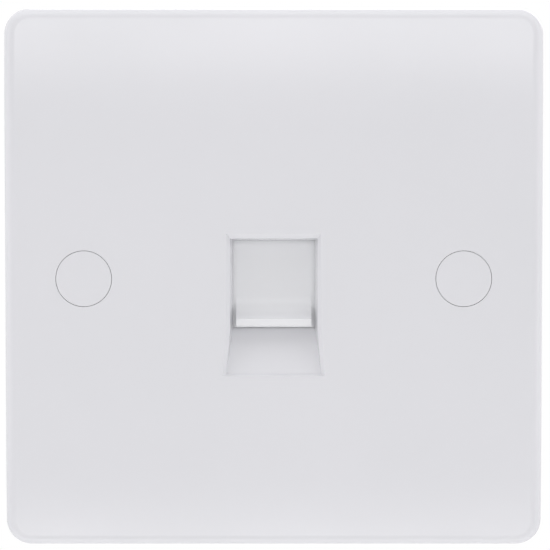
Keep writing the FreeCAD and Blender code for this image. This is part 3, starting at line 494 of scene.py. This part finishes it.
def build_screw(shape, seat, sense, head, neck, shank, pitch):
    """seat is the point under the head, and the shank leads from it along sense, +Y or -Y.

    head, neck and shank are pairs of width and length."""
    across, up, along = Vector((1, 0, 0)), Vector((0, 0, 1)), Vector((0, sense, 0))
    head_width, head_height = head
    neck_width, neck_length = neck
    rings = thread_rings(seat, across, up, along, sense, neck_length, shank, pitch)
    outline = [
        (neck_width / 2, neck_length), (neck_width / 2, 0), (head_width / 2 - HEAD_UNDERCUT * head_height, 0),
    ]
    outline += [(head_width * wide, -tall * head_height) for wide, tall in HEAD_OUTLINE]
    for radius, reach in outline:
        rings.append(round_ring(seat + along * reach, across, up, radius, SCREW_SIDES))
    top = skin(shape, rings, caps=(True, False))[-1]
    corners = recess_corners(across, up, head_width)
    mouth = seat - along * head_height
    floor = seat - along * head_height * RECESS_FLOOR
    recess = [[floor + corner * RECESS_TAPER for corner in corners], [mouth + corner for corner in corners]]
    edge = skin(shape, recess, caps=(True, False))[-1]
    rims = []
    for row in (top, edge):
        rims += [shape.edges.get((row[n], row[(n + 1) % len(row)])) for n in range(len(row))]
    bmesh.ops.triangle_fill(shape, use_beauty=True, edges=rims)


def add_screws(name, node, seats, sense, head, neck, shank, pitch):
    def build(shape):
        for seat in seats:
            build_screw(shape, seat, sense, head, neck, shank, pitch)

    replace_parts(add_piece(name, build, zinc, crease=SCREW_CREASE), node)


FIXING_HEAD = (6.9 * MM, 2.2 * MM)
FIXING_NECK = (2.9 * MM, 3.3 * MM)
FIXING_WIDTH = 3.5 * MM
FIXING_PITCH = 0.6 * MM
fixing_low, fixing_high = corners_of("fixing_screws")
fixing_x = fixing_high.x - FIXING_HEAD[0] / 2
fixing_seat = fixing_low.y + FIXING_HEAD[1]
add_screws(
    "fixing_screw_pair", "fixing_screws", [Vector((x, fixing_seat, 0)) for x in (-fixing_x, fixing_x)],
    1, FIXING_HEAD, FIXING_NECK, (FIXING_WIDTH, fixing_high.y - fixing_seat), FIXING_PITCH,
)

SMALL_HEAD = (4.0 * MM, 1.1 * MM)
SMALL_NECK = (2.2 * MM, 0.4 * MM)
SMALL_WIDTH = 2.2 * MM
SMALL_PITCH = 0.8 * MM
for name, node in (("frame_screw_pair", "frame_screws"), ("board_screw_pair", "board_screws")):
    low, high = corners_of(node)
    seat_y = high.y - SMALL_HEAD[1]
    left_z, right_z = high.z - SMALL_HEAD[0] / 2, low.z + SMALL_HEAD[0] / 2
    reach = high.x - SMALL_HEAD[0] / 2
    seats = [Vector((-reach, seat_y, left_z)), Vector((reach, seat_y, right_z))]
    add_screws(name, node, seats, -1, SMALL_HEAD, SMALL_NECK, (SMALL_WIDTH, seat_y - low.y), SMALL_PITCH)


# Solder, tracks and moulding marks. Profiles hold radius and height in millimetres.

TURNED_SIDES = 20
WAYS = 8
CONTACT_HALF = 0.15 * MM
JACK_SOLDER = (
    (0.7, -0.02), (0.7, 0.04), (0.58, 0.06), (0.42, 0.14), (0.31, 0.28), (0.25, 0.48), (0.21, 0.66),
)
BLADE_SOLDER = (
    (0.75, -0.02), (0.75, 0.04), (0.66, 0.06), (0.52, 0.14), (0.42, 0.28), (0.36, 0.48), (0.32, 0.68),
)
BLADE_STRETCH = 1.3


def build_turned(shape, centre, profile, sense, stretch=1.0):
    """A turned form on Y. stretch widens it along Z."""
    across, up = Vector((1, 0, 0)), Vector((0, 0, stretch))
    skin(shape, [
        round_ring(centre + Vector((0, sense * height * MM, 0)), across, up, radius * MM, TURNED_SIDES)
        for radius, height in profile
    ])


board_low, board_high = corners_of("circuit_board")
contact_ends = []
blade_ends = []
for n in range(1, WAYS + 1):
    low, high = corners_of(f"contact_{n}")
    contact_ends.append(Vector(((low.x + high.x) / 2, board_high.y, high.z - CONTACT_HALF)))
    point = middle_of(f"idc_blade_{n}")
    blade_ends.append(Vector((point.x, board_low.y, point.z)))


def build_jack_solder(shape):
    for point in contact_ends:
        build_turned(shape, point, JACK_SOLDER, 1)


def build_blade_solder(shape):
    for point in blade_ends:
        build_turned(shape, point, BLADE_SOLDER, -1, BLADE_STRETCH)


add_piece("jack_solder", build_jack_solder, solder)
add_piece("blade_solder", build_blade_solder, solder)

TRACK_WIDTH = 0.3 * MM
TRACK_HEIGHT = 0.04 * MM

# Corners of a track in millimetres, for the right half of the board
STRAIGHT_DOWN = ((0.51, -6.2), (1.46, -7.15))
ROUND_PEG = ((1.53, 1.2), (2.53, 0.2), (7.6, 0.2), (8.4, -0.6), (8.4, -2.25), (9.2, -3.05))

# Contact, blade, the board's half (-1 is left, and mirrors the corners), and the corners between the two
TRACKS = (
    (1, 2, -1, ((5.22, 1.05),)),
    (2, 1, -1, ((3.7, 5.15),)),
    (3, 3, -1, ROUND_PEG),
    (4, 4, -1, STRAIGHT_DOWN),
    (5, 8, 1, STRAIGHT_DOWN),
    (6, 7, 1, ROUND_PEG),
    (7, 6, 1, ((4.2, 1.05),)),
    (8, 5, 1, ((4.72, 5.15),)),
)


def build_track(shape, line):
    """A flat strip along a line of (x, z) points, mitred at its corners."""
    left, right = [], []
    for n, point in enumerate(line):
        before = (point - line[n - 1]).normalized() if n else (line[1] - point).normalized()
        after = (line[n + 1] - point).normalized() if n + 1 < len(line) else before
        aside = Vector((-(before + after).y, (before + after).x)).normalized()
        reach = TRACK_WIDTH / 2 / aside.dot(Vector((-before.y, before.x)))
        left.append(point + aside * reach)
        right.append(point - aside * reach)
    sunk, proud = board_high.y - TRACK_HEIGHT / 2, board_high.y + TRACK_HEIGHT
    skin(shape, [
        [Vector((side.x, level, side.y)) for side, level in ((a, sunk), (a, proud), (b, proud), (b, sunk))]
        for a, b in zip(left, right)
    ])


def build_tracks(shape):
    for contact, blade, side, corners in TRACKS:
        start, end = contact_ends[contact - 1], blade_ends[blade - 1]
        line = [Vector((start.x, start.z))]
        line += [Vector((side * x, z)) * MM for x, z in corners]
        line.append(Vector((end.x, end.z)))
        build_track(shape, line)


add_piece("board_tracks", build_tracks, track_green)

# Marks that ejector pins leave on the plate's inner side, with their places in millimetres
PLATE_WALL = 2.4 * MM
MARK = ((1.9, -0.1), (1.9, 0.03), (1.82, 0.06), (1.6, 0.06), (1.5, 0.02))
MARK_COLUMNS = (-32, -11, 11, 32)
MARK_ROWS = (-22.5, 22.5)
plate_face = corners_of("faceplate")[0].y


def build_marks(shape):
    for x in MARK_COLUMNS:
        for z in MARK_ROWS:
            build_turned(shape, Vector((x * MM, plate_face + PLATE_WALL, z * MM)), MARK, 1)


add_piece("ejector_marks", build_marks, plate_white)


# Floor. It ends where the photo's camera and the front views would begin to see it.

FLOOR_LEVEL = -0.45
FLOOR_HALF = 3.2
FLOOR_DEPTH = (-3.2, 2.4)
FLOOR_THICK = 0.004


def build_floor(shape):
    front, back = FLOOR_DEPTH
    corners = ((-FLOOR_HALF, front), (FLOOR_HALF, front), (FLOOR_HALF, back), (-FLOOR_HALF, back))
    levels = (FLOOR_LEVEL, FLOOR_LEVEL - FLOOR_THICK)
    skin(shape, [[Vector((x, y, level)) for x, y in corners] for level in levels])


make_object("floor", build_floor, floor_white)
